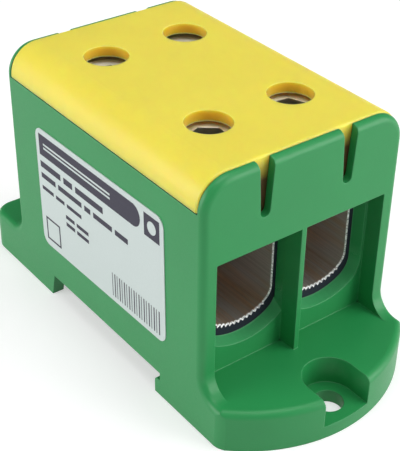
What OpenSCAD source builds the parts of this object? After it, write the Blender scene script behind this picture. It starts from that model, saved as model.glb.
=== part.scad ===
// Two-pole earth terminal block for a 35 mm rail or two screws.
// X runs along the wires, Z is up, and the origin is the middle of the body's underside.
// Left is -Y, the label's side, and front is +X.

/* [Wire tunnels] */
// Width of a wire tunnel
tunnel_w = 14; // [12:0.1:15.8]
// Height of a wire tunnel
tunnel_h = 14.7; // [13:0.1:18]
// Radius of a tunnel's bowed floor
tunnel_bow = 10.1; // [8.5:0.1:14]
// Radius where a tunnel's floor turns up into its sides
tunnel_corner = 3; // [1:0.1:4]
// Distance between the gripping grooves along a tunnel's floor
groove_pitch = 0.9; // [0.6:0.05:1.5]
// Depth of the gripping grooves
groove_depth = 0.35; // [0.2:0.05:0.6]

/* [Clamp blocks] */
// Length of a clamp block along the wire
block_len = 48.8; // [42:0.1:60]
// Thickness of a clamp block's side walls
block_wall = 1.05; // [0.8:0.05:1.6]
// Thickness of a clamp block's floor
block_floor = 2.1; // [1.5:0.1:3]
// Thickness of a clamp block's threaded roof
block_roof = 15.4; // [10:0.1:15.6]

/* [Clamp screws] */
// Diameter of a clamp screw
screw_d = 12; // [9:0.5:12.5]
// Length of a clamp screw
screw_len = 16; // [15.5:0.5:20]
// Height of the front screws' lower ends above the tunnels' ceilings
screw_lift = 1; // [0.8:0.1:2]
// How much lower the rear screws stand
rear_drop = 0.7; // [0:0.1:1]
// Distance of a clamp screw from the near end of its block
screw_inset = 9.4; // [7.5:0.05:10.5]
// Size of the hexagon socket across its flats
socket_af = 6; // [4:0.5:7]
// Depth of the hexagon socket
socket_depth = 6; // [4:0.5:8]
// Chamfer at both ends of a clamp screw
screw_chamfer = 0.5; // [0.4:0.1:1.4]
// Radial play of a clamp screw in its hole
screw_play = 0.05; // [0.03:0.01:0.1]

/* [Housing walls] */
// Height of the trough floors above the underside
base_h = 12.9; // [11.5:0.1:16]
// Thickness of the side walls beside the troughs
side_wall = 4.2; // [3.4:0.1:6]
// Thickness of the web between the two troughs
web_t = 1; // [0.8:0.1:2]
// Thickness of the front rib where it meets the inner wall
rib_root_t = 1.6; // [1:0.1:2.4]
// Thickness of the troughs' floors
trough_wall = 1.8; // [1.2:0.1:2.4]
// Thickness of the inner walls at the ends of the troughs
inner_wall = 2; // [1.6:0.1:3]
// Depth of the end recesses in front of the inner walls
recess_depth = 3.5; // [2.6:0.1:6]
// Width of the corner posts beside the end recesses
post_w = 2.9; // [2.2:0.1:3.6]
// Rise of an end recess above the tunnel's ceiling
lintel_rise = 3.8; // [2:0.1:4.5]
// Thickness of the end walls above the recesses
end_wall = 1.5; // [1.3:0.1:2.4]
// Room left round a clamp block and round the cover
fit_gap = 0.1; // [0.05:0.01:0.2]
// Step from a trough to the flared hole in its inner wall
collar_step = 0.1; // [0.05:0.05:0.3]
// Widening of that hole towards the end recess
collar_flare = 0.7; // [0.2:0.05:0.9]
// Rounding of the long upper edges
crown_r = 5.6; // [4:0.1:7]
// Rounding of the end edges and of the flanges' upper edges
edge_r = 1.3; // [0.6:0.1:1.3]

/* [Snap tabs] */
// Distance between the two slots beside a snap tab
slot_pitch = 17.4; // [14:0.1:22]
// Depth of the slots from the top
slot_depth = 10; // [8:0.1:10.4]
// Width of a slot at the top
slot_top_w = 3.1; // [2.2:0.1:4]
// Width of a slot at its round bottom
slot_foot_w = 2; // [1.2:0.1:2.2]
// Length of the catch on a snap tab
catch_len = 11; // [6:0.5:11.5]
// Reach of the catch into the cover
catch_reach = 0.5; // [0.3:0.05:0.7]
// Height of the catch
catch_h = 1.4; // [0.8:0.1:2]
// Depth of the catch's flat lower face from the top
catch_depth = 8.4; // [7.6:0.1:9]

/* [Cover] */
// Thickness of the cover's top
cover_t = 2.1; // [1.8:0.1:3]
// Height of the cover's side above the seam
cover_side = 6.1; // [5:0.1:7]
// Height of the cover's top above the end walls
cover_proud = 0.3; // [0.1:0.05:0.5]
// Rounding of the cover's end edges
cover_edge_r = 0.5; // [0.2:0.1:0.8]
// Depth of the cover's plug below the seam
plug_depth = 5.3; // [4.4:0.1:5.8]
// Thickness of the plug's wall
plug_t = 1.5; // [1.2:0.1:1.8]
// Thickness of the housing's rim round the plug
rim_t = 2; // [1.6:0.1:2.4]
// Width of the seam line along the cover's sides
seam_gap = 0.2; // [0.05:0.05:0.3]
// Diameter of the screwdriver holes
access_d = 8.2; // [6:0.1:8.6]
// Room between the front screws and the cover
headroom = 0.6; // [0.5:0.1:3]

/* [Flanges] */
// Length of the front flange beyond the end face
flange_len = 14; // [13:0.1:18]
// Length of the rear flange beyond the end face
rear_flange_len = 12.3; // [11:0.1:16]
// Height of the flanges
flange_h = 8.2; // [7:0.1:9]
// Radius of the front flange's bowed tip
flange_bow = 29.2; // [26:0.1:40]
// Radius of the flanges' corners
flange_corner = 4; // [2:0.1:5]
// Radius of the hollow sweep from a corner post down to its flange
flare_r = 4; // [2.5:0.1:4.2]
// Thickness of a flange's roof over its hollow
flange_roof = 2.4; // [1.8:0.1:3]
// Distance of a fixing hole from the flange's tip
fix_inset = 4.9; // [4:0.1:6]
// Diameter of the fixing holes
fix_d = 5.4; // [4.2:0.1:6.4]
// Width of the notch for a screw head
notch_w = 10; // [8:0.1:11]
// Height of the seat under a screw head
seat_h = 2.6; // [2:0.1:4]
// Thickness of the wall round a notch
notch_wall = 1.8; // [1.2:0.1:2.4]

/* [Rail foot] */
// Width of the rail
rail_w = 35; // [35:0.1:35.4]
// Play of the rail in its recess
rail_play = 0.5; // [0.2:0.1:1]
// Offset of the recess towards the fixed hooks
rail_shift = 0.55; // [0:0.05:1]
// Height of the recess's roof above the underside
rail_roof = 5; // [4.6:0.1:6]
// Thickness of the skirt round the hollow underside
skirt_t = 2.4; // [1.8:0.1:2.8]
// Reach of the fixed hooks under the rail
hook_reach = 1.5; // [1:0.1:2]
// Height of the fixed hooks
hook_h = 3.3; // [2.6:0.1:3.6]
// Rounding of the fixed hooks' noses
hook_r = 0.7; // [0.3:0.1:0.9]
// Slope of the recess's rear edge, as its offset at the bottom
lead_in = 1.1; // [0.6:0.1:1.6]
// Width of the spring latch
latch_w = 12; // [8:0.5:16]
// Thickness of the spring latch's leaf
latch_t = 1.6; // [1.2:0.1:2]

/* [Label] */
// Width of the label
label_w = 40.2; // [30:0.1:44]
// Height of the label
label_h = 25.2; // [20:0.1:27]
// Rounding of the label's corners
label_r = 2; // [1:0.1:4]
// Thickness of the label
label_t = 0.15; // [0.1:0.05:0.3]
// Height of the label's middle
label_z = 25; // [22:0.1:27]
// Tilt of the label on the wall, in degrees
label_tilt = 1.2; // [0:0.1:2]

/* [Hidden] */
$fn = 64;
LEFT = -1;
RIGHT = 1;
FRONT = 1;
REAR = -1;
// Overshoot of a cut beyond the face it opens
cut = 1;
// Distance of the front flange's corner outline from its sides and tip, so that it trims only the corners
corner_ease = 0.04;
// Thickness of the two sections that a flare is stretched between
section_t = 0.01;

housing_green = [0.17, 0.52, 0.29];
cover_yellow = [0.93, 0.80, 0.24];
tinned_metal = [0.72, 0.72, 0.74];
screw_steel = [0.62, 0.62, 0.64];
label_grey = [0.83, 0.87, 0.86];

block_w = tunnel_w + 2 * block_wall;
trough_w = block_w + 2 * fit_gap;
pole_y = (trough_w + web_t) / 2;
body_w = 2 * (trough_w + web_t / 2 + side_wall);
screw_x = block_len / 2 - screw_inset;

trough_end = block_len / 2 + fit_gap;
recess_x = trough_end + inner_wall;
end_x = recess_x + recess_depth;
tip_x = end_x + flange_len;
fix_x = tip_x - fix_inset;
rear_tip_x = end_x + rear_flange_len;
rear_fix_x = rear_tip_x - fix_inset;
cover_end = end_x - end_wall;

block_z = base_h + fit_gap;
tunnel_z = block_z + block_floor;
ceiling_z = tunnel_z + tunnel_h;
block_h = block_floor + tunnel_h + block_roof;
lintel_z = ceiling_z + lintel_rise;
collar_z = ceiling_z + lintel_rise / 2;
body_h = ceiling_z + screw_lift + screw_len + headroom + cover_t;
wall_h = body_h - cover_proud;
seam_z = body_h - cover_side;
pocket_z = seam_z - plug_depth;

rail_front = rail_shift + (rail_w + rail_play) / 2;
rail_rear = rail_shift - (rail_w + rail_play) / 2;

// Distance from a bow's tip back to the centres of its corner arcs
function bow_turn(half_w, bow, corner) =
    bow - sqrt(pow(bow - corner, 2) - pow(half_w - corner, 2));

module along_x(len) {
    rotate([90, 0, 90]) linear_extrude(height = len, center = true) children();
}

module along_y(len) {
    rotate([90, 0, 0]) linear_extrude(height = len, center = true) children();
}

module both_ends() {
    for (turn = [0, 180]) rotate(turn) children();
}

module both_sides() {
    for (side = [0, 1]) mirror([0, side, 0]) children();
}

// A box from its lowest corner to its highest corner
module span(low, high) {
    translate(low) cube(high - low);
}

// A rectangle standing on the X axis, with its two upper corners rounded
module round_top(w, h, r) {
    translate([-w / 2, 0]) square([w, h - r]);
    translate([r - w / 2, 0]) square([w - 2 * r, h]);
    for (side = [-1, 1]) translate([side * (w / 2 - r), h - r]) circle(r);
}

module round_rect(w, h, r) {
    square([w, h - 2 * r], center = true);
    square([w - 2 * r, h], center = true);
    for (x = [-1, 1], y = [-1, 1]) translate([x * (w / 2 - r), y * (h / 2 - r)]) circle(r);
}

// A strip that rises from a bowed end at the origin, with arcs between the bow and its sides
module bowed_strip(half_w, bow, corner, len) {
    turn = bow_turn(half_w, bow, corner);
    reach = 2 * bow / (bow - turn);
    translate([-half_w, turn]) square([2 * half_w, len - turn]);
    for (side = [-1, 1]) translate([side * (half_w - corner), turn]) circle(corner);
    intersection() {
        translate([0, bow]) circle(bow);
        polygon([[0, bow],
                 [(corner - half_w) * reach, bow - (bow - turn) * reach],
                 [(half_w - corner) * reach, bow - (bow - turn) * reach]]);
    }
}

// The tunnel's section grown by a wall, with its bow's lowest point at the origin
module tunnel_section(wall, floor_t, len) {
    bowed_strip(tunnel_w / 2 + wall, tunnel_bow + floor_t, tunnel_corner + wall, len);
}

// The gripping grooves side by side along a tunnel's bowed floor
module grip_grooves() {
    half_w = tunnel_w / 2;
    side_turn = atan((half_w - tunnel_corner) / (tunnel_bow - bow_turn(half_w, tunnel_bow, tunnel_corner)));
    pitch_turn = 2 * asin(groove_pitch / 2 / tunnel_bow);
    count = floor(2 * side_turn / pitch_turn);
    rise = groove_pitch / 4;
    for (i = [0 : count - 1]) translate([0, tunnel_bow]) rotate((i - (count - 1) / 2) * pitch_turn)
        polygon([[0, -tunnel_bow - groove_depth], [groove_pitch / 2, rise - tunnel_bow],
                 [-groove_pitch / 2, rise - tunnel_bow]]);
}

// The trough's section grown by a wall, on the trough's own floor
module trough_section(grow, len) {
    wall = block_wall + fit_gap + grow;
    translate([0, -grow]) tunnel_section(wall, block_floor + fit_gap + grow, len + grow);
}

// What a round edge takes off a square corner at the origin
module edge_waste(r) {
    difference() {
        translate([-r, -r]) square(r + cut);
        translate([-r, -r]) circle(r);
    }
}

// The waste all along a front edge of radius r: over the top, round the crowns and down the sides
module end_edge_waste(x, h, r) {
    crown_y = body_w / 2 - crown_r;
    crown_z = h - crown_r;
    translate([x, 0, h]) along_y(2 * crown_y) edge_waste(r);
    both_sides() {
        translate([x, body_w / 2, -cut]) linear_extrude(crown_z + cut) edge_waste(r);
        translate([x, crown_y, crown_z]) rotate([0, 90, 0]) rotate(90) rotate_extrude(angle = 90)
            translate([crown_r, 0]) edge_waste(r);
    }
}

// The housing's outer form, with round long edges and an even rounding round each end
module body_form() {
    difference() {
        along_x(2 * end_x) round_top(body_w, wall_h, crown_r);
        both_ends() end_edge_waste(end_x, wall_h, edge_r);
    }
}

// Half the section of a plate's rim, turned about the Y axis into a disc with a round upper edge
module rim_section(r, h) {
    square([r - edge_r, h]);
    square([r, h - edge_r]);
    translate([r - edge_r, h - edge_r]) circle(edge_r);
}

// The front flange: a plate with a bowed tip, whose corners are rounded by the wider outline round it
module bowed_flange() {
    len = tip_x - recess_x + cut;
    intersection() {
        translate([tip_x - flange_bow, 0, 0]) rotate_extrude() rim_section(flange_bow, flange_h);
        translate([recess_x + len / 2, 0, 0]) along_x(len) round_top(body_w, flange_h, edge_r);
        translate([tip_x + corner_ease, 0, -cut]) rotate(90) linear_extrude(flange_h + 2 * cut)
            bowed_strip(body_w / 2 + corner_ease, flange_bow + corner_ease, flange_corner, len + cut);
    }
}

// The rear flange, built facing forward: a plate with a straight tip between two round corners
module straight_flange() {
    corner_x = rear_tip_x - flange_corner;
    corner_y = body_w / 2 - flange_corner;
    len = corner_x - recess_x;
    translate([recess_x + len / 2, 0, 0]) along_x(len) round_top(body_w, flange_h, edge_r);
    translate([corner_x, 0, 0]) along_y(2 * corner_y) rim_section(flange_corner, flange_h);
    both_sides() translate([corner_x, corner_y, 0]) rotate_extrude(angle = 90)
        rim_section(flange_corner, flange_h);
}

// The hollow sweep from a corner post down to the flange
module post_flare() {
    thick = flare_r * (sqrt(2) - 1);
    both_sides() translate([end_x + flare_r, 0, flange_h + flare_r]) rotate([90, 0, 0])
        rotate(180) rotate_extrude(angle = 90) translate([flare_r, -body_w / 2]) difference() {
            square([thick + edge_r, post_w]);
            rotate(180) edge_waste(edge_r);
        }
}

// Room for one conductor between a corner post and the rib, which thins towards the front
module end_window() {
    post_y = body_w / 2 - post_w;
    front_x = end_x + cut;
    slope = (rib_root_t - web_t) / 2 / recess_depth;
    translate([0, 0, flange_h]) linear_extrude(lintel_z - flange_h)
        polygon([[recess_x, rib_root_t / 2], [front_x, web_t / 2 - slope * cut],
                 [front_x, post_y], [recess_x, post_y]]);
}

// The hole in an inner wall, flared from the trough's end to the recess but never into the rib
module collar() {
    back_x = block_len / 2;
    front_x = recess_x + cut;
    height = collar_z - base_h;
    widest = collar_step + collar_flare * (front_x - back_x) / (recess_x - back_x);
    intersection() {
        translate([0, pole_y, base_h]) hull() {
            translate([back_x, 0, 0]) along_x(section_t) trough_section(collar_step, height);
            translate([front_x, 0, 0]) along_x(section_t) trough_section(widest, height);
        }
        span([back_x - cut, rib_root_t / 2, 0], [front_x + cut, body_w / 2, body_h]);
    }
}

module trough() {
    along_x(2 * trough_end) translate([pole_y, base_h]) trough_section(0, body_h - base_h);
}

// One of the two tapered slots that free a snap tab
module tab_slot() {
    foot_r = slot_foot_w / 2;
    foot_z = wall_h - slot_depth + foot_r;
    mouth_y = slot_top_w / 2;
    translate([end_x - end_wall / 2, slot_pitch / 2, 0]) along_x(end_wall + 2 * cut) {
        translate([0, foot_z]) circle(foot_r);
        polygon([[-foot_r, foot_z], [foot_r, foot_z], [mouth_y, wall_h], [mouth_y, wall_h + cut],
                 [-mouth_y, wall_h + cut], [-mouth_y, wall_h]]);
    }
}

// The catch with a flat lower face and a sloping upper one, rooted in the end wall
module snap_catch(gap) {
    foot_z = body_h - catch_depth - gap;
    nose_x = cover_end - catch_reach - gap;
    root_x = cover_end + end_wall / 2;
    top_z = foot_z + catch_h + 2 * gap;
    along_y(catch_len + 2 * gap)
        polygon([[root_x, foot_z], [nose_x, foot_z], [nose_x, foot_z + catch_h / 3 + 2 * gap],
                 [cover_end + gap, top_z + gap], [root_x, top_z + gap]]);
}

module screw_notch(x) {
    translate([x, 0, seat_h]) {
        cylinder(h = flange_h, d = notch_w);
        span([0, -notch_w / 2, 0], [fix_inset + cut, notch_w / 2, flange_h]);
    }
    translate([x, 0, -cut]) cylinder(h = seat_h + 2 * cut, d = fix_d);
}

// The outline of a flange's hollow between the skirts, as far as x
module hollow_strip(x) {
    half_w = body_w / 2 - skirt_t;
    translate([recess_x, -half_w]) square([x - recess_x, 2 * half_w]);
}

// A flange's hollow of the given outline, round the wall of its screw notch
module flange_hollow(x) {
    boss_w = notch_w + 2 * notch_wall;
    translate([0, 0, -cut]) linear_extrude(flange_h - flange_roof + cut) difference() {
        children();
        translate([x, 0]) circle(d = boss_w);
        translate([x, -boss_w / 2]) square([flange_len, boss_w]);
    }
}

// The hollow under the two troughs
module base_hollow() {
    half_w = body_w / 2 - skirt_t;
    along_x(2 * trough_end) difference() {
        translate([-half_w, -cut]) square([2 * half_w, base_h + cut]);
        for (side = [LEFT, RIGHT]) translate([side * pole_y, base_h])
            trough_section(trough_wall, lintel_z - base_h);
    }
}

// The recess for the rail, with the fixed hooks left standing at its front
module rail_recess() {
    nose_x = rail_front - hook_reach;
    along_y(body_w + 2 * cut) difference() {
        polygon([[rail_rear - lead_in, -cut], [rail_rear - lead_in, 0], [rail_rear, rail_roof],
                 [rail_front, rail_roof], [rail_front, -cut]]);
        translate([nose_x, -2 * cut]) square([2 * hook_reach, hook_h - hook_r + 2 * cut]);
        translate([nose_x + hook_r, -2 * cut]) square([2 * hook_reach, hook_h + 2 * cut]);
        translate([nose_x + hook_r, hook_h - hook_r]) circle(hook_r);
    }
}

// The moulded spring leaf that snaps under the rail's rear lip
module rail_latch() {
    leaf_x = rail_rear - lead_in;
    nose_x = rail_rear + hook_reach / 2;
    root_z = base_h;
    along_y(latch_w)
        polygon([[leaf_x - latch_t, root_z], [leaf_x - latch_t, hook_r], [leaf_x, hook_r],
                 [nose_x, hook_h - hook_r], [nose_x, hook_h], [leaf_x, hook_h], [leaf_x, root_z]]);
}

module housing() {
    color(housing_green) {
        difference() {
            union() {
                body_form();
                bowed_flange();
                rotate(180) straight_flange();
                both_ends() post_flare();
            }
            span([-cover_end, -body_w / 2 - cut, seam_z], [cover_end, body_w / 2 + cut, body_h + cut]);
            span([-cover_end, rim_t - body_w / 2, pocket_z], [cover_end, body_w / 2 - rim_t, body_h]);
            both_sides() trough();
            both_ends() both_sides() collar();
            both_ends() both_sides() end_window();
            both_ends() both_sides() tab_slot();
            screw_notch(fix_x);
            rotate(180) screw_notch(rear_fix_x);
            flange_hollow(fix_x) intersection() {
                translate([tip_x - flange_bow, 0]) circle(flange_bow - skirt_t);
                hollow_strip(tip_x);
            }
            rotate(180) flange_hollow(rear_fix_x) hollow_strip(rear_tip_x - skirt_t);
            base_hollow();
            rail_recess();
        }
        both_ends() snap_catch(0);
        rail_latch();
    }
}

module cover() {
    plug_end = cover_end - fit_gap;
    plug_y = body_w / 2 - rim_t - fit_gap;
    color(cover_yellow) difference() {
        union() {
            intersection() {
                along_x(2 * plug_end) round_top(body_w, body_h, crown_r);
                span([-end_x, -body_w, seam_z + seam_gap], [end_x, body_w, body_h + cut]);
            }
            span([-plug_end, -plug_y, pocket_z], [plug_end, plug_y, seam_z + cover_t]);
        }
        span([plug_t - plug_end, plug_t - plug_y, pocket_z - cut],
             [plug_end - plug_t, plug_y - plug_t, body_h - cover_t]);
        for (end = [FRONT, REAR], side = [LEFT, RIGHT])
            translate([end * screw_x, side * pole_y, seam_z]) cylinder(h = cover_side + cut, d = access_d);
        both_ends() snap_catch(fit_gap);
        both_ends() end_edge_waste(plug_end, body_h, cover_edge_r);
    }
}

module clamp_block(side) {
    color(tinned_metal) translate([0, side * pole_y, 0]) difference() {
        along_x(block_len) translate([0, block_z]) tunnel_section(block_wall, block_floor, block_h);
        along_x(block_len + 2 * cut) translate([0, tunnel_z]) tunnel_section(0, 0, tunnel_h);
        along_x(block_len + 2 * cut) translate([0, tunnel_z]) grip_grooves();
        for (end = [FRONT, REAR]) translate([end * screw_x, 0, ceiling_z - cut])
            cylinder(h = block_roof + 2 * cut, d = screw_d + 2 * screw_play);
    }
}

module clamp_screw(end, side) {
    r = screw_d / 2;
    tip_r = r - screw_chamfer;
    socket_r = socket_af / 2 / cos(30);
    foot_z = ceiling_z + screw_lift - (end == REAR ? rear_drop : 0);
    color(screw_steel) translate([end * screw_x, side * pole_y, foot_z]) difference() {
        rotate_extrude() polygon([[0, 0], [tip_r, 0], [r, screw_chamfer],
                                  [r, screw_len - screw_chamfer], [tip_r, screw_len], [0, screw_len]]);
        translate([0, 0, screw_len - socket_depth]) cylinder(h = socket_depth + cut, r = socket_r, $fn = 6);
    }
}

module side_label() {
    color(label_grey) translate([0, -(body_w + label_t) / 2, label_z]) rotate([0, -label_tilt, 0])
        along_y(label_t) round_rect(label_w, label_h, label_r);
}

housing();
cover();
clamp_block(LEFT);  // left_clamp_block
clamp_block(RIGHT);  // right_clamp_block
clamp_screw(FRONT, LEFT);  // left_front_screw
clamp_screw(REAR, LEFT);  // left_rear_screw
clamp_screw(FRONT, RIGHT);  // right_front_screw
clamp_screw(REAR, RIGHT);  // right_rear_screw
side_label();
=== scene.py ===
"""Finishes an earth terminal block: plastics, clamp blocks, threaded screws, a label and a studio."""

import math

import bmesh
import bpy
from bpy.props import FloatProperty, FloatVectorProperty, IntProperty, PointerProperty
from mathutils import Matrix, Vector


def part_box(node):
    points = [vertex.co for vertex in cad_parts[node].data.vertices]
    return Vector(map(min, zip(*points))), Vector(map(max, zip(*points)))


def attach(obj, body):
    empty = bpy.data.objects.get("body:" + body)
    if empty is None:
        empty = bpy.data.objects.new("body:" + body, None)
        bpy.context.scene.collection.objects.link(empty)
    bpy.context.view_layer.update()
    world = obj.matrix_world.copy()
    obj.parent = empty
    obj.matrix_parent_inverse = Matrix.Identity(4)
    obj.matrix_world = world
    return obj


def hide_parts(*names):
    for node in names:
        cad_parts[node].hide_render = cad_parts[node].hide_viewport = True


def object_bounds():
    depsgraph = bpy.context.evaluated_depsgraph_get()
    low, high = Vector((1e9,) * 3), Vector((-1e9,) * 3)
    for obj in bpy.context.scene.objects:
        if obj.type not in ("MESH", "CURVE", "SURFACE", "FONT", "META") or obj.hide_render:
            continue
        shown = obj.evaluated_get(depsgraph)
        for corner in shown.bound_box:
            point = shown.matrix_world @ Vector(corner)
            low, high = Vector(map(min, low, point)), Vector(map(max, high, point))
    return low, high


bl_info = {
    "name": "Earth Terminal Block",
    "version": (1, 0, 0),
    "blender": (4, 5, 0),
    "location": "3D View > Sidebar > Terminal Block",
    "description": "Finishes a rail-mount earth terminal block and sets up its studio",
    "category": "Object",
}

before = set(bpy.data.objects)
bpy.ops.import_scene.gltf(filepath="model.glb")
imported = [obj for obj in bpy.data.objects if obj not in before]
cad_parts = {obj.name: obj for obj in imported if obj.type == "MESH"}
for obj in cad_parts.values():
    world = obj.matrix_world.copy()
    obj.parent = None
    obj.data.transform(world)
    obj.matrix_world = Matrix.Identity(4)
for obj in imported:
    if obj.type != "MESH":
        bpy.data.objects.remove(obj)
CAD_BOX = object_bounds()
MM = 0.001
BASE = "base"

BLOCKS = ("left_clamp_block", "right_clamp_block")
# Each clamp screw with its turn in degrees
SCREWS = {"left_front_screw": -8, "left_rear_screw": 14, "right_front_screw": 22, "right_rear_screw": -20}

# Vertices nearer than this are one, or lie at one height
TINY = 0.001 * MM
# Faces that turn by less than the first angle are one, and edges that turn by more than the second are sharp
FLAT_WITHIN = math.radians(0.2)
SHARP_FROM = math.radians(30)
# Turns a flat shape to face out of the label
UPRIGHT = Matrix.Rotation(math.pi / 2, 4, "X")

# Nearness of a mouth's edges to a clamp block's end, and how far their faces may lean towards that end
END_REACH = 0.01 * MM
TUNNEL_LEAN = 0.5
# Height of a point inside the tunnel, as a share of a clamp block's height
TUNNEL_INSIDE = 1 / 3

# Half widths of a thread's ridge at its foot and crest, as shares of the pitch
RIDGE_FOOT = 0.46
RIDGE_CREST = 0.08
# Depth of the ridge, as a share of the thread's, so that it reaches into the core
RIDGE_DEPTH = 1.1

# Rounding of the header band's end and radius of the header's spot, as shares of the header's height
BAND_END = 0.49
SPOT = 0.28
# Widths of the label's thin and thick stripes, as shares of their pitch
STRIPE_SHARES = (0.25, 0.4)
# Rows of bars under the label's header, in millimetres: drop, inset, height, space and the bars' lengths
BAR_ROWS = (
    (2.6, 0, 1.3, 1.0, (7, 3, 9)),
    (4.9, 0, 1.1, 0.9, (5, 8, 2, 6, 4)),
    (7.4, 0, 0.8, 0.8, (4, 3, 5)),
    (10.0, 8, 0.8, 0.7, (3, 4)),
    (11.6, 8, 0.8, 0.7, (3, 4)),
)

# Bounds between which most of a noise lies
NOISE_LOW = 0.3
NOISE_HIGH = 0.7
# Rays of the nodes that feel for edges and gaps
RAYS = 8

# Each lamp with the way to it from the block's middle, and its width in metres
LAMPS = {
    "left_lamp": ((-0.40, -0.9, 0.2), 0.45),
    "right_lamp": ((0.72, 0.62, 0.36), 0.45),
    "top_lamp": ((0.1, 0.05, 1.0), 0.5),
    "fill_lamp": ((0.7, -0.5, 0.55), 0.2),
}
LAMP_DISTANCE = 0.6
# Heights in the sky between which its brightness changes, as sines
SKY_START = 0.05
SKY_END = 0.5
FLOOR_RADIUS = 6.0
FLOOR_SIDES = 96
# Depth of the floor under the block's foot
FLOOR_DROP = 0.02 * MM
NEAREST_SEEN = 10 * MM


# Shader nodes

def new_material(name):
    """A material with its node tree and its shader."""
    material = bpy.data.materials.new(name)
    material.use_nodes = True
    tree = material.node_tree
    return material, tree, tree.nodes["Principled BSDF"]


def add_node(tree, kind, inputs=None, **settings):
    """A node with its settings, whose inputs are set to values or linked to sockets."""
    node = tree.nodes.new(kind)
    for name, value in settings.items():
        setattr(node, name, value)
    for name, value in (inputs or {}).items():
        if isinstance(value, bpy.types.NodeSocket):
            tree.links.new(value, node.inputs[name])
        else:
            node.inputs[name].default_value = value
    return node


def connect(tree, shader, sockets):
    """Links sockets to a shader's inputs."""
    for name, socket in sockets.items():
        tree.links.new(socket, shader.inputs[name])


def object_place(tree):
    """Places on a piece, in the shared frame."""
    return add_node(tree, "ShaderNodeTexCoord").outputs["Object"]


def axes(tree, vector):
    """A vector's X, Y and Z."""
    return add_node(tree, "ShaderNodeSeparateXYZ", {"Vector": vector}).outputs


def math_node(tree, operation, *values):
    """The result of one operation on numbers."""
    return add_node(tree, "ShaderNodeMath", dict(enumerate(values)), operation=operation).outputs["Value"]


def vector_math(tree, operation, output, *vectors):
    """One output of an operation on vectors."""
    inputs = dict(enumerate(vectors))
    return add_node(tree, "ShaderNodeVectorMath", inputs, operation=operation).outputs[output]


def axis_distance(tree, place):
    """The distance of places from the upright axis."""
    level = vector_math(tree, "MULTIPLY", "Vector", place, (1, 1, 0))
    return vector_math(tree, "LENGTH", "Value", level)


def counted(tree, place, lengths, centre=(0, 0, 0)):
    """Places counted in cells of these lengths from a centre."""
    scale = [1 / length for length in lengths]
    shift = [-middle * share for middle, share in zip(centre, scale)]
    inputs = {"Vector": place, "Scale": scale, "Location": shift}
    return add_node(tree, "ShaderNodeMapping", inputs).outputs["Vector"]


def noise(tree, place, cell, detail=2.0):
    """Noise from 0 to 1 in cells about this wide."""
    inputs = {"Vector": place, "Scale": 1 / cell, "Detail": detail}
    return add_node(tree, "ShaderNodeTexNoise", inputs).outputs["Fac"]


def stretched_noise(tree, place, lengths, detail):
    """Noise from 0 to 1 in cells of these lengths."""
    return noise(tree, counted(tree, place, lengths), 1.0, detail)


def map_range(tree, value, low, high, to_low=0.0, to_high=1.0):
    """A value between two bounds, stretched to lie between two others."""
    inputs = {"Value": value, "From Min": low, "From Max": high, "To Min": to_low, "To Max": to_high}
    return add_node(tree, "ShaderNodeMapRange", inputs).outputs["Result"]


def varied(tree, pattern, level, down, up):
    """A level that a noise takes down and up."""
    return map_range(tree, pattern, NOISE_LOW, NOISE_HIGH, level - down, level + up)


def mix_colour(tree, share, low, high):
    """The low colour where the share is 0, and the high one where it is 1."""
    # Inputs 6 and 7 are the node's colours, and output 2 is their mix
    return add_node(tree, "ShaderNodeMix", {0: share, 6: low, 7: high}, data_type="RGBA").outputs[2]


def shade(colour, share=1):
    """A colour made lighter or darker, with full alpha."""
    return (*(min(channel * share, 1) for channel in colour), 1)


def mottled(tree, pattern, colour, darkest, palest):
    """A colour that a pattern takes from a darker to a paler share of it."""
    return mix_colour(tree, pattern, shade(colour, darkest), shade(colour, palest))


def rounded_edges(tree, radius):
    """The normal over edges rounded by a radius, and a mask of those edges."""
    rounded = add_node(tree, "ShaderNodeBevel", {"Radius": radius}, samples=RAYS).outputs["Normal"]
    flat = add_node(tree, "ShaderNodeNewGeometry").outputs["Normal"]
    likeness = vector_math(tree, "DOT_PRODUCT", "Value", rounded, flat)
    return rounded, map_range(tree, likeness, low=1.0, high=0.85)


def crevices(tree, reach):
    """A mask of deep gaps that are narrower than a reach, where painted shade goes."""
    feeler = add_node(tree, "ShaderNodeAmbientOcclusion", {"Distance": reach}, samples=RAYS)
    return map_range(tree, feeler.outputs["AO"], low=0.5, high=0.25)


def bump(tree, height, distance, normal=None):
    """The normal of a surface that a pattern raises by up to a distance."""
    inputs = {"Height": height, "Distance": distance, "Strength": 1.0}
    if normal is not None:
        inputs["Normal"] = normal
    return add_node(tree, "ShaderNodeBump", inputs).outputs["Normal"]


# Finishes

def painted_collar_light(tree, place, finish, body):
    """The housing's colour, with a painted highlight that pales the lower collars under the tunnels' mouths,
    and a mask of the collars.
    """
    along = axes(tree, vector_math(tree, "ABSOLUTE", "Vector", place))
    past = math_node(tree, "GREATER_THAN", along["X"], finish.collar_start)
    before = math_node(tree, "LESS_THAN", along["X"], finish.collar_end)
    beside = math_node(tree, "LESS_THAN", along["Y"], finish.collar_side)
    # The painted highlight fades out up the collars' sides, which lie in shade
    under = map_range(tree, along["Z"], finish.collar_top, finish.collar_foot)
    ring = math_node(tree, "MULTIPLY", math_node(tree, "MULTIPLY", past, before), beside)
    collars = math_node(tree, "MULTIPLY", ring, under)
    return mix_colour(tree, collars, body, shade(finish.collar_highlight_colour)), collars


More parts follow.
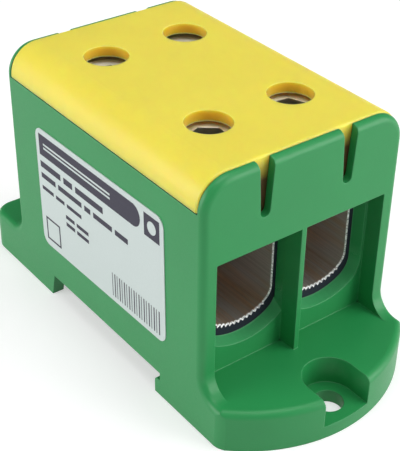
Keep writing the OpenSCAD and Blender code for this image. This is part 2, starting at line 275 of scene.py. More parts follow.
def painted_hole_shading(tree, place, finish, body):
    """The cover's colour with painted shade down the key holes and down its end faces, a painted highlight on
    the holes' lower edges, and a mask of the holes.
    """
    spread = vector_math(tree, "ABSOLUTE", "Vector", place)
    along = axes(tree, spread)
    about = vector_math(tree, "SUBTRACT", "Vector", spread, (finish.hole_along, finish.hole_side, 0))
    holes = math_node(tree, "LESS_THAN", axis_distance(tree, about), finish.hole_radius)
    # Painted shade: a key hole's wall turns darker and more orange with depth
    depth = map_range(tree, along["Z"], finish.top, finish.top - finish.hole_depth)
    # Painted highlight: the lower edge of a key hole's wall is paled as if lit from below
    foot = math_node(tree, "LESS_THAN", along["Z"], finish.top - finish.hole_foot)
    wall = mix_colour(tree, foot, shade(finish.hole_shade_colour), shade(finish.highlight_colour))
    deep = mix_colour(tree, math_node(tree, "MULTIPLY", holes, depth), body, wall)
    # Painted shade: the end faces down the slots darken to brown with depth
    ends = math_node(tree, "GREATER_THAN", along["X"], finish.end_start)
    sunk = map_range(tree, along["Z"], finish.top - finish.end_edge, finish.top - finish.end_depth)
    painted_end_shade = math_node(tree, "MULTIPLY", ends, sunk)
    return mix_colour(tree, painted_end_shade, deep, shade(finish.end_colour)), holes


def moulded_plastic(name, finish, painted_light):
    """Satin plastic with a mould grain, a drift of colour, painted highlights on its edges, painted light and
    shade on an inner part, and painted shade in deep gaps.
    """
    material, tree, shader = new_material(name)
    place = object_place(tree)
    drift = noise(tree, place, finish.drift, detail=3.0)
    grain = noise(tree, place, finish.grain)
    rounded, edges = rounded_edges(tree, finish.edge_round)
    body = mottled(tree, drift, finish.colour, darkest=0.94, palest=1.06)
    # The finish's painted light: a highlight on the housing's collars, and shade down the cover's key holes
    # and end faces
    light_painted, inner = painted_light(tree, place, finish, body)
    # Painted highlight: the edges are paled as if they caught the light
    painted_highlight = math_node(tree, "MULTIPLY", edges, finish.edge_highlight)
    highlighted = mix_colour(tree, painted_highlight, light_painted, shade(finish.highlight_colour))
    # Painted shade: the share of the colour that is left in deep gaps such as seams
    painted_shade = shade(finish.colour, finish.gap_shade)
    dull = varied(tree, grain, finish.roughness, down=0.05, up=0.05)
    polish = math_node(tree, "MULTIPLY", inner, finish.inner_polish)
    connect(tree, shader, {
        "Base Color": mix_colour(tree, crevices(tree, finish.gap_reach), highlighted, painted_shade),
        "Roughness": math_node(tree, "SUBTRACT", dull, polish),
        "Normal": bump(tree, grain, finish.grain_depth, rounded),
    })
    shader.inputs["Specular IOR Level"].default_value = finish.gloss
    shader.inputs["Subsurface Weight"].default_value = finish.translucency
    shader.inputs["Subsurface Radius"].default_value = finish.light_reach
    shader.inputs["Subsurface Scale"].default_value = 1.0
    return material


def drawn_metal(name, finish):
    """Tinned metal with lines, brown streaks and painted highlights on the ridges inside, dark sawn ends, and
    a roof in the cover's shade painted pale and matt as if lit.
    """
    material, tree, shader = new_material(name)
    place = object_place(tree)
    lines = stretched_noise(tree, place, (finish.line_length, finish.line, finish.line), detail=4.0)
    streaks = stretched_noise(tree, place, (finish.streak_length, finish.streak, finish.streak), detail=2.0)
    saw_marks = stretched_noise(tree, place, finish.saw_mark, detail=3.0)
    facing = axes(tree, add_node(tree, "ShaderNodeNewGeometry").outputs["Normal"])
    is_end = map_range(tree, math_node(tree, "ABSOLUTE", facing["X"]), low=0.9, high=0.95)
    # Painted light: above this height the roof, which lies in the cover's shade, is pale and matt
    is_roof = math_node(tree, "GREATER_THAN", axes(tree, place)["Z"], finish.roof_start)
    streaked = mix_colour(tree, map_range(tree, streaks, low=0.45, high=0.7),
                          shade(finish.inside_colour), shade(finish.tarnish_colour))
    line_share = map_range(tree, lines, low=0.35, high=0.65, to_high=0.4)
    lined = mix_colour(tree, line_share, streaked, shade(finish.inside_colour, 0.6))
    worn, ridges = rounded_edges(tree, finish.groove_round)
    # Painted highlight: the tunnel's ridges are paled towards the roof's colour
    painted_highlight = math_node(tree, "MULTIPLY", ridges, finish.ridge_highlight)
    roof = shade(finish.roof_lit_colour)
    inside = mix_colour(tree, painted_highlight, lined, roof)
    ends = mottled(tree, saw_marks, finish.end_colour, darkest=0.7, palest=1.4)
    body = mix_colour(tree, is_end, inside, ends)
    marks = mix_colour(tree, is_end, lines, saw_marks)
    connect(tree, shader, {
        "Base Color": mix_colour(tree, is_roof, body, roof),
        "Metallic": map_range(tree, is_roof, 0.0, 1.0, finish.metallic, finish.roof_metallic),
        "Roughness": varied(tree, marks, finish.roughness, down=0.08, up=0.1),
        "Normal": bump(tree, marks, finish.line_depth, worn),
    })
    shader.inputs["Specular IOR Level"].default_value = finish.gloss
    return material


def glinting_edge_metal(name, finish):
    """Cut metal on the broken edges of a tunnel's mouths, painted near white as a glint."""
    material, tree, shader = new_material(name)
    nicks = noise(tree, object_place(tree), finish.nick, detail=3.0)
    shine = map_range(tree, nicks, low=0.35, high=0.6)
    connect(tree, shader, {
        "Base Color": mottled(tree, shine, finish.edge_glint_colour, darkest=0.35, palest=1.08),
        "Roughness": varied(tree, nicks, finish.edge_roughness, down=0.125, up=0.125),
        "Normal": bump(tree, nicks, finish.nick_depth),
    })
    shader.inputs["Metallic"].default_value = finish.edge_metallic
    return material


def turned_steel(name, finish, colour, metallic, centre):
    """Plated steel with turning rings about a screw's axis."""
    material, tree, shader = new_material(name)
    place = object_place(tree)
    radius = axis_distance(tree, counted(tree, place, (1, 1, 1), centre))
    turns = math_node(tree, "MULTIPLY", radius, 2 * math.pi / finish.ring_pitch)
    rings = math_node(tree, "MULTIPLY_ADD", math_node(tree, "SINE", turns), 0.5, 0.5)
    patches = noise(tree, place, finish.patch, detail=3.0)
    connect(tree, shader, {
        "Base Color": mottled(tree, patches, colour, darkest=0.8, palest=1.15),
        "Roughness": varied(tree, patches, finish.roughness, down=0.06, up=0.1),
        "Normal": bump(tree, rings, finish.ring_depth),
    })
    shader.inputs["Metallic"].default_value = metallic
    return material


def printed_film(name, finish, colour, roughness, gloss):
    """Matt film or ink with a faint mottle and a slight wave."""
    material, tree, shader = new_material(name)
    place = object_place(tree)
    mottle = noise(tree, place, finish.mottle)
    wave = noise(tree, place, finish.wave, detail=1.0)
    connect(tree, shader, {
        "Base Color": mottled(tree, mottle, colour, darkest=0.96, palest=1.04),
        "Roughness": varied(tree, mottle, roughness, down=0.04, up=0.04),
        "Normal": bump(tree, wave, finish.wave_depth),
    })
    shader.inputs["Specular IOR Level"].default_value = gloss
    return material


# Meshes

def new_piece(name, bm, materials, body=BASE):
    """An object at the origin made from a bmesh, which rides on a body."""
    mesh = bpy.data.meshes.new(name)
    bm.to_mesh(mesh)
    bm.free()
    mesh.shade_smooth()
    mesh.set_sharp_from_angle(angle=SHARP_FROM)
    for material in materials:
        mesh.materials.append(material)
    piece = bpy.data.objects.new(name, mesh)
    bpy.context.scene.collection.objects.link(piece)
    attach(piece, body)
    return piece


def paint(node, material):
    """Gives a CAD node's object one material."""
    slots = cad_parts[node].data.materials
    slots.clear()
    slots.append(material)


def verts_of(parts):
    """The vertices among a mesh operator's new parts."""
    return [part for part in parts if isinstance(part, bmesh.types.BMVert)]


def edges_of(parts):
    """The edges among a mesh operator's new parts."""
    return [part for part in parts if isinstance(part, bmesh.types.BMEdge)]


def open_edges(edges):
    """The edges with only one face."""
    return [edge for edge in edges if edge.is_boundary]


def level_edges(edges, height):
    """The edges that lie at one height."""
    return [edge for edge in edges if all(abs(vert.co.z - height) < TINY for vert in edge.verts)]


def bevel(bm, parts, width, affect="EDGES", segments=1):
    """Breaks or rounds edges or corners, and returns the new faces."""
    made = bmesh.ops.bevel(bm, geom=parts, offset=width, offset_type="OFFSET", affect=affect,
                           segments=segments, profile=0.5, material=-1, clamp_overlap=True)
    return made["faces"]


def mouth_edges(bm, end_x, axis_y, axis_z):
    """The edges where a clamp block's sawn ends meet the inside of its tunnel."""
    found = []
    for edge in bm.edges:
        middle = (edge.verts[0].co + edge.verts[1].co) / 2
        if abs(abs(middle.x) - end_x) > END_REACH or len(edge.link_faces) != 2:
            continue
        inner = min(edge.link_faces, key=lambda face: abs(face.normal.x))
        to_axis = Vector((middle.x, axis_y, axis_z)) - middle
        if abs(inner.normal.x) < TUNNEL_LEAN and inner.normal.dot(to_axis) > 0:
            found.append(edge)
    return found


def turned_core(bm, centre, low, high, settings, turn):
    """A screw's core, turned with a chamfered collar at each end, with a hexagon socket in its top."""
    rim = settings.diameter / 2
    root = rim - settings.thread_depth
    chamfer, collar = settings.chamfer, settings.collar
    outline = ((rim - chamfer, low), (rim, low + chamfer), (rim, low + collar), (root, low + 2 * collar),
               (root, high - 2 * collar), (rim, high - collar), (rim, high - chamfer), (rim - chamfer, high))
    points = [bm.verts.new(centre + Vector((r, 0, z))) for r, z in outline]
    sides = [bm.edges.new(pair) for pair in zip(points, points[1:])]
    bmesh.ops.spin(bm, geom=points + sides, cent=centre, axis=(0, 0, 1), angle=2 * math.pi,
                   steps=settings.facets, use_merge=True)
    bmesh.ops.remove_doubles(bm, verts=bm.verts, dist=TINY)
    bmesh.ops.holes_fill(bm, edges=level_edges(bm.edges, low), sides=0)
    mouth = bmesh.ops.extrude_edge_only(bm, edges=level_edges(bm.edges, high))["geom"]
    apothem = settings.socket / 2
    for vert in verts_of(mouth):
        spoke = vert.co - centre
        from_flat = (math.atan2(spoke.y, spoke.x) - turn) % (math.pi / 3) - math.pi / 6
        reach = apothem / math.cos(from_flat)
        vert.co.xy = centre.xy + spoke.xy.normalized() * reach
    lip = edges_of(mouth)
    walls = bmesh.ops.extrude_edge_only(bm, edges=open_edges(lip))["geom"]
    bmesh.ops.translate(bm, verts=verts_of(walls), vec=(0, 0, -settings.socket_depth))
    floor = bmesh.ops.holes_fill(bm, edges=open_edges(edges_of(walls)), sides=0)
    bmesh.ops.poke(bm, faces=floor["faces"], offset=-settings.socket_point)
    # The socket's walls and floor take the second material, a darker copy of the plating as painted shade
    corner = settings.socket / math.sqrt(3)
    for face in bm.faces:
        spoke = face.calc_center_median() - centre
        if low + chamfer < spoke.z < high - settings.lip and spoke.xy.length < corner:
            face.material_index = 1
    closed = [edge for edge in lip if edge.is_valid and not edge.is_boundary]
    bevel(bm, level_edges(closed, high), settings.lip, segments=2)


def wound_thread(bm, centre, low, high, settings):
    """A screw's thread: a ridge wound round the core that fades out at both ends."""
    pitch = settings.thread_pitch
    crest = settings.diameter / 2
    root = crest - RIDGE_DEPTH * settings.thread_depth
    half_foot, half_crest = pitch * RIDGE_FOOT, pitch * RIDGE_CREST
    start = low + settings.chamfer + half_foot
    turns = (high - settings.chamfer - half_foot - start) / pitch
    steps = round(turns * settings.facets)
    outline = ((root, -half_foot), (crest, -half_crest), (crest, half_crest), (root, half_foot))
    points = [bm.verts.new(centre + Vector((r, 0, start + rise))) for r, rise in outline]
    sides = [bm.edges.new(pair) for pair in zip(points, points[1:] + points[:1])]
    first = bm.faces.new(points)
    wound = bmesh.ops.spin(bm, geom=[first] + points + sides, cent=centre, axis=(0, 0, 1),
                           dvec=(0, 0, pitch / settings.facets), angle=2 * math.pi * steps / settings.facets,
                           steps=steps)
    for vert in points + verts_of(wound["geom_last"]):
        spoke = vert.co.xy - centre.xy
        vert.co.xy = centre.xy + spoke.normalized() * min(spoke.length, root)


def flat_field(bm, left, bottom, width, height, lift=0.0):
    """A rectangle of print facing out of the label, which lies in the XZ plane, and its vertices."""
    size = Matrix.Diagonal((width, height, 1, 1))
    place = Matrix.Translation((left + width / 2, -lift, bottom + height / 2))
    made = bmesh.ops.create_grid(bm, x_segments=1, y_segments=1, size=0.5, matrix=place @ UPRIGHT @ size)
    return made["verts"]


def bar_row(bm, left, bottom, height, space, lengths):
    """Bars side by side from the left, with one space between them."""
    for length in lengths:
        flat_field(bm, left, bottom, length * MM, height)
        left += length * MM + space


def stripe_row(bm, left, bottom, height, count, pitch):
    """Upright stripes, thin and thick in turn."""
    for i in range(count):
        width = pitch * STRIPE_SHARES[i % 2]
        flat_field(bm, left + i * pitch, bottom, width, height)


def open_square(bm, left, bottom, size, line):
    """The outline of a square."""
    for up in (0, size - line):
        flat_field(bm, left, bottom + up, size, line)
    for across in (0, size - line):
        flat_field(bm, left + across, bottom + line, line, size - 2 * line)


# Settings

def colour_property(name, description, default):
    return FloatVectorProperty(name=name, description=description, subtype="COLOR", size=3, min=0, max=1,
                               default=default)


def length_property(name, description, default):
    return FloatProperty(name=name, description=description, unit="LENGTH", min=0, precision=5,
                         default=default)


def reach_property(name, description, default):
    return FloatVectorProperty(name=name, description=description, unit="LENGTH", size=3, min=0, precision=5,
                               default=default)


def share_property(name, description, default):
    return FloatProperty(name=name, description=description, subtype="FACTOR", min=0, max=1, default=default)


def strength_property(name, description, default):
    return FloatProperty(name=name, description=description, min=0, default=default)


def angle_property(name, description, degrees):
    return FloatProperty(name=name, description=description, subtype="ANGLE", default=math.radians(degrees))


class PlasticFinish:
    """Finish of a moulded piece."""

    edge_round: length_property("Edge rounding", "Radius of the small edges", 0.25 * MM)
    grain: length_property("Mould grain", "Width of the mould's grain", 0.18 * MM)
    grain_depth: length_property("Grain depth", "Depth of the mould's grain", 0.006 * MM)
    drift: length_property("Colour drift", "Width of the slow changes of colour", 9 * MM)
    roughness: share_property("Roughness", "Roughness of the surface", 0.42)
    gloss: share_property("Gloss", "Strength of the surface's reflections", 0.45)
    # Painted shade darkens the gaps that are narrower than this reach
    gap_reach: length_property("Gap reach", "Width of the gaps that collect dirt", 0.7 * MM)
    gap_shade: share_property("Gap shade", "Share of the colour that is left in the gaps", 0.08)
    inner_polish: share_property("Inner polish", "How much smoother the inner part is", 0.2)


class HousingSettings(PlasticFinish, bpy.types.PropertyGroup):
    """Finish of the housing."""

    colour: colour_property("Colour", "Colour of the plastic", (0.018, 0.27, 0.073))
    # Colour and strength of the painted highlight on the housing's edges
    highlight_colour: colour_property("Edge colour", "Paler colour of the rubbed edges", (0.10, 0.42, 0.18))
    edge_highlight: share_property("Edge paling", "How much paler the edges are", 0.45)
    translucency: share_property("Translucency", "Share of the light that passes into the plastic", 0.0)
    light_reach: reach_property("Light reach", "How far red, green and blue light spread",
                                (0.1 * MM, 0.3 * MM, 0.1 * MM))
    # The collars' paler colour is a painted highlight, while their lower roughness is their own polish
    collar_highlight_colour: colour_property("Collar colour", "Colour of the tunnels' polished collars",
                                   (0.055, 0.35, 0.125))
    collar_start: length_property("Collar start", "Distance of the collars from the middle", 24.45 * MM)
    collar_end: length_property("Collar end", "Distance of the collars' far ends from the middle", 26.42 * MM)
    collar_side: length_property("Collar side", "Reach of the collars to either side", 19 * MM)
    # Heights between which the collars' painted highlight fades out
    collar_top: length_property("Collar top", "Height where the collars' paler colour ends", 21 * MM)
    collar_foot: length_property("Collar foot", "Height under which the collars are palest", 18 * MM)


class CoverSettings(PlasticFinish, bpy.types.PropertyGroup):
    """Finish of the cover."""

    colour: colour_property("Colour", "Colour of the plastic", (0.895, 0.73, 0.089))
    # Colour and strength of the painted highlight on the cover's edges and the key holes' lower edges
    highlight_colour: colour_property("Edge colour", "Paler colour of the rubbed edges", (0.95, 0.88, 0.30))
    edge_highlight: share_property("Edge paling", "How much paler the edges are", 0.5)
    translucency: share_property("Translucency", "Share of the light that passes into the plastic", 0.8)
    light_reach: reach_property("Light reach", "How far red, green and blue light spread",
                                (3.2 * MM, 2.2 * MM, 0.3 * MM))
    # Painted shade down the key holes, and a painted highlight on their lower edges
    hole_shade_colour: colour_property("Hole colour", "Deeper colour down the key holes", (0.95, 0.59, 0.054))
    hole_along: length_property("Hole place", "Distance of the key holes from the middle, along the wires",
                                15 * MM)
    hole_side: length_property("Hole side", "Distance of the key holes from the middle, to either side",
                               8.65 * MM)
    hole_radius: length_property("Hole radius", "Reach of the deeper colour round a key hole", 4.14 * MM)
    hole_depth: length_property("Hole depth", "Depth where a key hole's colour is deepest", 0.6 * MM)
    hole_foot: length_property("Hole foot", "Depth where the pale lower edge of a key hole starts", 1.9 * MM)
    top: length_property("Top", "Height of the cover's top", 49.5 * MM)
    # Painted shade on the end faces down the slots
    end_colour: colour_property("End colour", "Brown of the end faces down the slots", (0.10, 0.045, 0.012))
    end_start: length_property("End start", "Distance of the end faces from the middle", 28.3 * MM)
    end_edge: length_property("End edge", "Depth of the yellow edge over the end faces", 0.8 * MM)
    end_depth: length_property("End depth", "Depth where the end faces are brown", 4.5 * MM)


class BlockSettings(bpy.types.PropertyGroup):
    """Finish of the clamp blocks."""

    inside_colour: colour_property("Inside", "Colour of the tunnel's metal", (0.60, 0.54, 0.51))
    tarnish_colour: colour_property("Tarnish", "Colour of the brown streaks inside", (0.62, 0.41, 0.27))
    end_colour: colour_property("Sawn end", "Colour of the sawn ends", (0.032, 0.036, 0.055))
    # Painted light: the roof under the cover is pale and matt as if lit
    roof_lit_colour: colour_property("Roof", "Colour of the tinned roof under the cover", (0.88, 0.83, 0.70))
    metallic: share_property("Metallic", "How metallic the dull tunnel looks", 0.8)
    gloss: share_property("Gloss", "Strength of the surface's reflections", 0.3)
    roof_metallic: share_property("Roof metallic", "How metallic the dull tin of the roof looks", 0.0)
    # Height above which the roof is painted as if lit
    roof_start: length_property("Roof start", "Height where the clean tin starts", 40 * MM)
    # Painted glint: the broken edges are near white and hardly metallic
    edge_glint_colour: colour_property("Broken edge", "Colour of the broken edges", (0.92, 0.92, 0.91))
    roughness: share_property("Roughness", "Roughness of the tunnel's metal", 0.56)
    groove_round: length_property("Groove rounding", "Radius of the worn ridges in the tunnel", 0.14 * MM)
    # Strength of the painted highlight on the tunnel's ridges
    ridge_highlight: share_property("Ridge paling", "How much paler the worn ridges are", 0.85)
    line: length_property("Line width", "Width of the drawn lines", 0.22 * MM)
    line_length: length_property("Line length", "Length of the drawn lines", 60 * MM)
    line_depth: length_property("Line depth", "Depth of the drawn lines", 0.002 * MM)
    streak: length_property("Streak width", "Width of the brown streaks", 2.4 * MM)
    streak_length: length_property("Streak length", "Length of the brown streaks", 25 * MM)
    saw_mark: reach_property("Saw marks", "Size of the saw marks along, across and up",
                             (1 * MM, 6 * MM, 0.15 * MM))
    edge_break: length_property("Edge break", "Width of the broken edges at the mouths", 0.22 * MM)
    edge_roughness: share_property("Edge roughness", "Roughness of the broken edges", 0.375)
    edge_metallic: share_property("Edge metallic", "How metallic the broken edges look", 0.1)
    nick: length_property("Nick width", "Width of the nicks along the broken edges", 0.3 * MM)
    nick_depth: length_property("Nick depth", "Depth of the nicks along the broken edges", 0.004 * MM)


class ScrewSettings(bpy.types.PropertyGroup):
    """Shape and finish of the clamp screws."""

    diameter: length_property("Diameter", "Diameter over the thread", 12 * MM)
    thread_pitch: length_property("Thread pitch", "Rise of the thread in a turn", 1.75 * MM)
    thread_depth: length_property("Thread depth", "Depth of the thread", 0.95 * MM)
    chamfer: length_property("Chamfer", "Chamfer at both ends", 0.5 * MM)
    collar: length_property("Collar", "Height of the plain collar at both ends", 0.8 * MM)
    socket: length_property("Socket", "Hexagon socket across its flats", 6 * MM)
    socket_depth: length_property("Socket depth", "Depth of the hexagon socket", 6 * MM)
    socket_point: length_property("Socket point", "Depth of the drilled point under the socket", 1 * MM)
    lip: length_property("Socket lip", "Rounding of the socket's mouth", 0.25 * MM)
    facets: IntProperty(name="Facets", description="Sides of the turned shapes", min=12, default=48)
    colour: colour_property("Colour", "Colour of the front screws' plating", (0.80, 0.78, 0.73))
    # Painted shade inside the hexagon socket
    socket_shade_colour: colour_property("Socket colour", "Colour inside the socket", (0.27, 0.28, 0.25))
    metallic: share_property("Metallic", "How metallic the front screws' plating looks", 0.9)
    # Painted light: the rear screws, in the cover's shade, get a paler matt copy of the plating
    rear_lit_colour: colour_property("Dull colour", "Colour of the rear screws' dull plating", (0.88, 0.85, 0.76))
    dull_metallic: share_property("Dull metallic", "How metallic the rear screws' plating looks", 0.0)
    roughness: share_property("Roughness", "Roughness of the plated steel", 0.38)
    patch: length_property("Patch width", "Width of the paler and darker patches", 1.5 * MM)
    ring_pitch: length_property("Ring pitch", "Distance between the turning rings", 0.2 * MM)
    ring_depth: length_property("Ring depth", "Depth of the turning rings", 0.004 * MM)


class LabelSettings(bpy.types.PropertyGroup):
    """Layout and finish of the side label."""

    width: length_property("Width", "Width of the label", 40.2 * MM)
    height: length_property("Height", "Height of the label", 25.2 * MM)
    tilt: angle_property("Tilt", "Tilt of the label on the wall", 1.2)
    margin: length_property("Margin", "Bare margin round the print", 1.1 * MM)
    header: length_property("Header", "Height of the header band", 4.4 * MM)
    line: length_property("Thin line", "Width of the thin lines of print", 0.4 * MM)
    ink_height: length_property("Ink height", "Height of the ink above the film", 0.012 * MM)
    rule_start: length_property("Rule start", "Start of the pale rules in the header band", 1.5 * MM)
    rule_length: length_property("Rule length", "Length of the pale rules in the header band", 22 * MM)
    stripes: IntProperty(name="Stripes", description="Number of upright stripes", min=1, default=20)
    stripe_pitch: length_property("Stripe pitch", "Distance from stripe to stripe", 0.75 * MM)
    stripe_height: length_property("Stripe height", "Height of the stripes", 5 * MM)
    square: length_property("Square", "Side of the open square", 5 * MM)
    film_colour: colour_property("Film", "Colour of the film", (0.62, 0.70, 0.68))
    film_roughness: share_property("Film roughness", "Roughness of the film", 0.42)
    film_gloss: share_property("Film gloss", "Strength of the film's reflections", 0.4)
    ink_colour: colour_property("Ink", "Colour of the ink", (0.055, 0.052, 0.075))
    ink_roughness: share_property("Ink roughness", "Roughness of the ink", 0.5)
    ink_gloss: share_property("Ink gloss", "Strength of the ink's reflections", 0.15)
    mottle: length_property("Mottle", "Width of the faint mottle", 0.4 * MM)
    wave: length_property("Wave", "Width of the film's slight waves", 9 * MM)
    wave_depth: length_property("Wave depth", "Depth of the film's slight waves", 0.05 * MM)


class StageSettings(bpy.types.PropertyGroup):
    """Camera, lamps and floor."""

    azimuth: angle_property("Azimuth", "Camera's turn round the block", 52.563)
    elevation: angle_property("Elevation", "Camera's height above the horizon", 33.838)
    roll: angle_property("Roll", "Camera's roll", 0.855)
    distance: length_property("Distance", "Camera's distance from its target", 214.408 * MM)
    target: FloatVectorProperty(name="Target", description="Point in the middle of the picture", size=3,
                                unit="LENGTH", default=(0.672 * MM, 0.877 * MM, 17.929 * MM))
    lens: FloatProperty(name="Lens", description="Focal length of the camera in millimetres", default=90.891)
    left_lamp: strength_property("Left lamp", "Power of the lamp beside the label, in watts", 2.8)
    right_lamp: strength_property("Right lamp", "Power of the lamp beyond the front, in watts", 2.75)
    top_lamp: strength_property("Top lamp", "Power of the lamp overhead, in watts", 2.1)
    fill_lamp: strength_property("Fill lamp", "Power of the weak lamp over the camera, in watts", 0.18)
    sky_low: strength_property("Low sky", "Brightness of the studio near the floor", 0.3)
    sky_high: strength_property("High sky", "Brightness of the studio overhead", 0.12)
    floor_colour: colour_property("Floor", "Colour of the floor", (0.62, 0.62, 0.62))
    floor_glow: strength_property("Floor glow", "Light added where the floor is seen as the background", 0.5)
    floor_speckle: length_property("Floor speckle", "Width of the floor's faint speckles", 3 * MM)


class TerminalBlockSettings(bpy.types.PropertyGroup):
    """All settings of the block."""

    housing: PointerProperty(type=HousingSettings)
    cover: PointerProperty(type=CoverSettings)
    blocks: PointerProperty(type=BlockSettings)
    screws: PointerProperty(type=ScrewSettings)
    label: PointerProperty(type=LabelSettings)
    stage: PointerProperty(type=StageSettings)


# Operators

class TERMINALBLOCK_OT_housing(bpy.types.Operator):
    """Give the housing its moulded green finish"""

    bl_idname = "terminal_block.housing"
    bl_label = "Finish Housing"

    def execute(self, context):
        paint("housing", moulded_plastic("green_plastic", context.scene.terminal_block.housing, painted_collar_light))
        return {"FINISHED"}


class TERMINALBLOCK_OT_cover(bpy.types.Operator):
    """Give the cover its moulded yellow finish"""

    bl_idname = "terminal_block.cover"
    bl_label = "Finish Cover"

    def execute(self, context):
        paint("cover", moulded_plastic("yellow_plastic", context.scene.terminal_block.cover, painted_hole_shading))
        return {"FINISHED"}


class TERMINALBLOCK_OT_blocks(bpy.types.Operator):
    """Break the edges of the clamp blocks' mouths and finish their metal"""

    bl_idname = "terminal_block.blocks"
    bl_label = "Finish Clamp Blocks"

    def execute(self, context):
        finish = context.scene.terminal_block.blocks
        metals = [drawn_metal("tinned_metal", finish), glinting_edge_metal("cut_metal", finish)]
        for node in BLOCKS:
            low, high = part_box(node)
            middle = (low + high) / 2
            bm = bmesh.new()
            bm.from_mesh(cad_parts[node].data)
            bmesh.ops.remove_doubles(bm, verts=bm.verts, dist=TINY)
            bmesh.ops.dissolve_limit(bm, angle_limit=FLAT_WITHIN, verts=bm.verts, edges=bm.edges)
            inside_z = low.z + (high.z - low.z) * TUNNEL_INSIDE
            edges = mouth_edges(bm, high.x, middle.y, inside_z)
            if not edges:
                raise RuntimeError(f"{node} has no mouth edges to break")
            for face in bevel(bm, edges, finish.edge_break):
                face.material_index = 1
            piece = new_piece(node + "_finished", bm, metals)
            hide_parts(node)
        return {"FINISHED"}


class TERMINALBLOCK_OT_screws(bpy.types.Operator):
    """Turn and thread the four clamp screws"""

    bl_idname = "terminal_block.screws"
    bl_label = "Make Clamp Screws"

    def execute(self, context):
        settings = context.scene.terminal_block.screws
        for node, degrees in SCREWS.items():
            low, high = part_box(node)
            middle = (low + high) / 2
            centre = Vector((middle.x, middle.y, 0))
            bm = bmesh.new()
            turned_core(bm, centre, low.z, high.z, settings, math.radians(degrees))
            wound_thread(bm, centre, low.z, high.z, settings)
            bmesh.ops.recalc_face_normals(bm, faces=bm.faces)
            plating = (settings.colour, settings.metallic)
            # Painted light: the rear screws get a paler matt copy of the plating, as if lit
            if middle.x < 0:
                plating = (settings.rear_lit_colour, settings.dull_metallic)
            # Painted shade: the socket gets a darker copy of the plating
            socket = (settings.socket_shade_colour, settings.metallic)
            steels = [turned_steel(node + "_steel", settings, *plating, centre),
                      turned_steel(node + "_socket", settings, *socket, centre)]
            piece = new_piece(node + "_threaded", bm, steels, body=node)
            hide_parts(node)
        return {"FINISHED"}


class TERMINALBLOCK_OT_label(bpy.types.Operator):
    """Print plain fields and rules on the side label"""

    bl_idname = "terminal_block.label"
    bl_label = "Print Label"

    def execute(self, context):
        settings = context.scene.terminal_block.label
        film = (settings.film_colour, settings.film_roughness, settings.film_gloss)
        ink = (settings.ink_colour, settings.ink_roughness, settings.ink_gloss)
        paint("side_label", printed_film("label_film", settings, *film))
        low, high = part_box("side_label")
        face = Matrix.Translation(((low.x + high.x) / 2, low.y - settings.ink_height, (low.z + high.z) / 2))
        face = face @ Matrix.Rotation(-settings.tilt, 4, "Y")
        prints = (("label_print", self.draw_ink, printed_film("label_ink", settings, *ink)),
                  ("label_reserves", self.draw_reserves, printed_film("label_reserve", settings, *film)))
        for name, draw, material in prints:
            bm = bmesh.new()
            draw(bm, settings)
            bmesh.ops.transform(bm, matrix=face, verts=bm.verts)
            new_piece(name, bm, [material])
        return {"FINISHED"}

    def draw_ink(self, bm, settings):
        """The header's fields, the rows of bars, the stripes and the square."""
        left = settings.margin - settings.width / 2
        right = -left
        top = settings.height / 2 - settings.margin
        bottom = -top
        header = settings.header
        head = top - header
        band = flat_field(bm, left, head, 2 * right - header - settings.margin, header)
        right_end = [vert for vert in band if vert.co.x > 0]
        bevel(bm, right_end, header * BAND_END, affect="VERTICES", segments=8)
        flat_field(bm, right - header, head, header, header)
        for drop, inset, height, space, lengths in BAR_ROWS:
            bar_row(bm, left + inset * MM, head - drop * MM, height * MM, space * MM, lengths)
        stripes_left = right - settings.stripes * settings.stripe_pitch
        stripe_row(bm, stripes_left, bottom, settings.stripe_height, settings.stripes, settings.stripe_pitch)
        open_square(bm, left + settings.line, bottom + settings.line, settings.square, settings.line)

    def draw_reserves(self, bm, settings):
        """The header's pale rules and spot, which lie over its ink."""
        left = settings.margin - settings.width / 2
        middle = settings.height / 2 - settings.margin - settings.header / 2
        spot = -left - settings.header / 2
        line = settings.line
        for rise in (-1, 1):
            bottom = middle + rise * line - line / 2
            flat_field(bm, left + settings.rule_start, bottom, settings.rule_length, line,
                       lift=settings.ink_height)
        place = Matrix.Translation((spot, -settings.ink_height, middle))
        bmesh.ops.create_circle(bm, cap_ends=True, radius=settings.header * SPOT, segments=32,
                                matrix=place @ UPRIGHT)


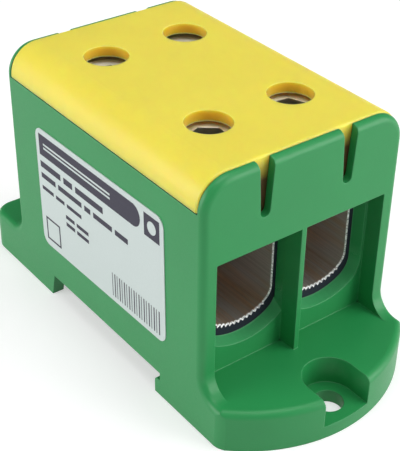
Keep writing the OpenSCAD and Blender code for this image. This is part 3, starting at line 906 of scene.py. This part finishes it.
class TERMINALBLOCK_OT_stage(bpy.types.Operator):
    """Set up the floor, the lamps, the studio's sky and the camera"""

    bl_idname = "terminal_block.stage"
    bl_label = "Set Up Stage"

    def execute(self, context):
        scene = context.scene
        settings = scene.terminal_block.stage
        scene.view_settings.view_transform = "Standard"
        self.lay_floor(scene, settings)
        self.fill_sky(scene, settings)
        middle = sum(CAD_BOX, Vector()) / 2
        for name, (way, size) in LAMPS.items():
            self.hang_lamp(scene, name, getattr(settings, name), middle, way, size)
        self.set_camera(scene, settings)
        return {"FINISHED"}

    def lay_floor(self, scene, settings):
        """A pale floor that keeps the block's shadow."""
        material, tree, shader = new_material("pale_floor")
        tree.nodes.remove(shader)
        path = add_node(tree, "ShaderNodeLightPath").outputs
        mirrored = math_node(tree, "MAXIMUM", path["Is Glossy Ray"], path["Is Transmission Ray"])
        seen = math_node(tree, "MAXIMUM", path["Is Camera Ray"], mirrored)
        speckle = noise(tree, object_place(tree), settings.floor_speckle)
        colour = mottled(tree, speckle, settings.floor_colour, darkest=0.99, palest=1.01)
        diffuse = add_node(tree, "ShaderNodeBsdfDiffuse", {"Color": colour})
        strength = math_node(tree, "MULTIPLY", seen, settings.floor_glow)
        glow = add_node(tree, "ShaderNodeEmission", {"Strength": strength})
        both = add_node(tree, "ShaderNodeAddShader", {0: diffuse.outputs[0], 1: glow.outputs[0]})
        tree.links.new(both.outputs[0], tree.nodes["Material Output"].inputs["Surface"])
        bm = bmesh.new()
        bmesh.ops.create_circle(bm, cap_ends=True, radius=FLOOR_RADIUS, segments=FLOOR_SIDES)
        bmesh.ops.translate(bm, verts=bm.verts, vec=(0, 0, -FLOOR_DROP))
        mesh = bpy.data.meshes.new("floor")
        bm.to_mesh(mesh)
        bm.free()
        mesh.materials.append(material)
        floor = bpy.data.objects.new("floor", mesh)
        scene.collection.objects.link(floor)

    def fill_sky(self, scene, settings):
        """A dim sky that looks white as a background."""
        world = bpy.data.worlds.new("studio")
        world.use_nodes = True
        scene.world = world
        tree = world.node_tree
        way = add_node(tree, "ShaderNodeTexCoord").outputs["Generated"]
        lit = map_range(tree, axes(tree, way)["Z"], SKY_START, SKY_END, settings.sky_low, settings.sky_high)
        seen = add_node(tree, "ShaderNodeLightPath").outputs["Is Camera Ray"]
        strength = math_node(tree, "MAXIMUM", lit, seen)
        tree.links.new(strength, tree.nodes["Background"].inputs["Strength"])
        tree.nodes["Background"].inputs["Color"].default_value = (1, 1, 1, 1)

    def hang_lamp(self, scene, name, power, middle, way, size):
        """A square lamp that faces the block's middle."""
        lamp = bpy.data.lights.new(name, "AREA")
        lamp.energy = power
        lamp.size = size
        hung = bpy.data.objects.new(name, lamp)
        back = Vector(way).normalized()
        hung.location = middle + back * LAMP_DISTANCE
        hung.rotation_mode = "QUATERNION"
        hung.rotation_quaternion = back.to_track_quat("Z", "Y")
        scene.collection.objects.link(hung)

    def set_camera(self, scene, settings):
        """The camera of the photograph."""
        lens = bpy.data.cameras.new("camera")
        lens.lens = settings.lens
        lens.clip_start = NEAREST_SEEN
        camera = bpy.data.objects.new("camera", lens)
        level = math.cos(settings.elevation)
        back = Vector((math.sin(settings.azimuth) * level, -math.cos(settings.azimuth) * level,
                       math.sin(settings.elevation)))
        turn = back.to_track_quat("Z", "Y").to_matrix().to_4x4() @ Matrix.Rotation(settings.roll, 4, "Z")
        camera.matrix_world = Matrix.Translation(Vector(settings.target) + back * settings.distance) @ turn
        scene.collection.objects.link(camera)
        scene.camera = camera


OPERATORS = (
    TERMINALBLOCK_OT_housing,
    TERMINALBLOCK_OT_cover,
    TERMINALBLOCK_OT_blocks,
    TERMINALBLOCK_OT_screws,
    TERMINALBLOCK_OT_label,
    TERMINALBLOCK_OT_stage,
)


class TERMINALBLOCK_PT_sidebar(bpy.types.Panel):
    """Lists the settings and the steps of the block"""

    bl_label = "Terminal Block"
    bl_space_type = "VIEW_3D"
    bl_region_type = "UI"
    bl_category = "Terminal Block"

    def draw(self, context):
        settings = context.scene.terminal_block
        for title in ("housing", "cover", "blocks", "screws", "label", "stage"):
            box = self.layout.box()
            box.label(text=title.capitalize())
            group = getattr(settings, title)
            for name in group.bl_rna.properties.keys():
                if name not in ("rna_type", "name"):
                    box.prop(group, name)
        for operator in OPERATORS:
            self.layout.operator(operator.bl_idname)


CLASSES = (
    HousingSettings,
    CoverSettings,
    BlockSettings,
    ScrewSettings,
    LabelSettings,
    StageSettings,
    TerminalBlockSettings,
    *OPERATORS,
    TERMINALBLOCK_PT_sidebar,
)


def register():
    for cls in CLASSES:
        bpy.utils.register_class(cls)
    bpy.types.Scene.terminal_block = PointerProperty(type=TerminalBlockSettings)


def unregister():
    del bpy.types.Scene.terminal_block
    for cls in reversed(CLASSES):
        bpy.utils.unregister_class(cls)


def main():
    register()
    bpy.ops.terminal_block.housing()
    bpy.ops.terminal_block.cover()
    bpy.ops.terminal_block.blocks()
    bpy.ops.terminal_block.screws()
    bpy.ops.terminal_block.label()
    bpy.ops.terminal_block.stage()


if __name__ == "__main__":
    main()
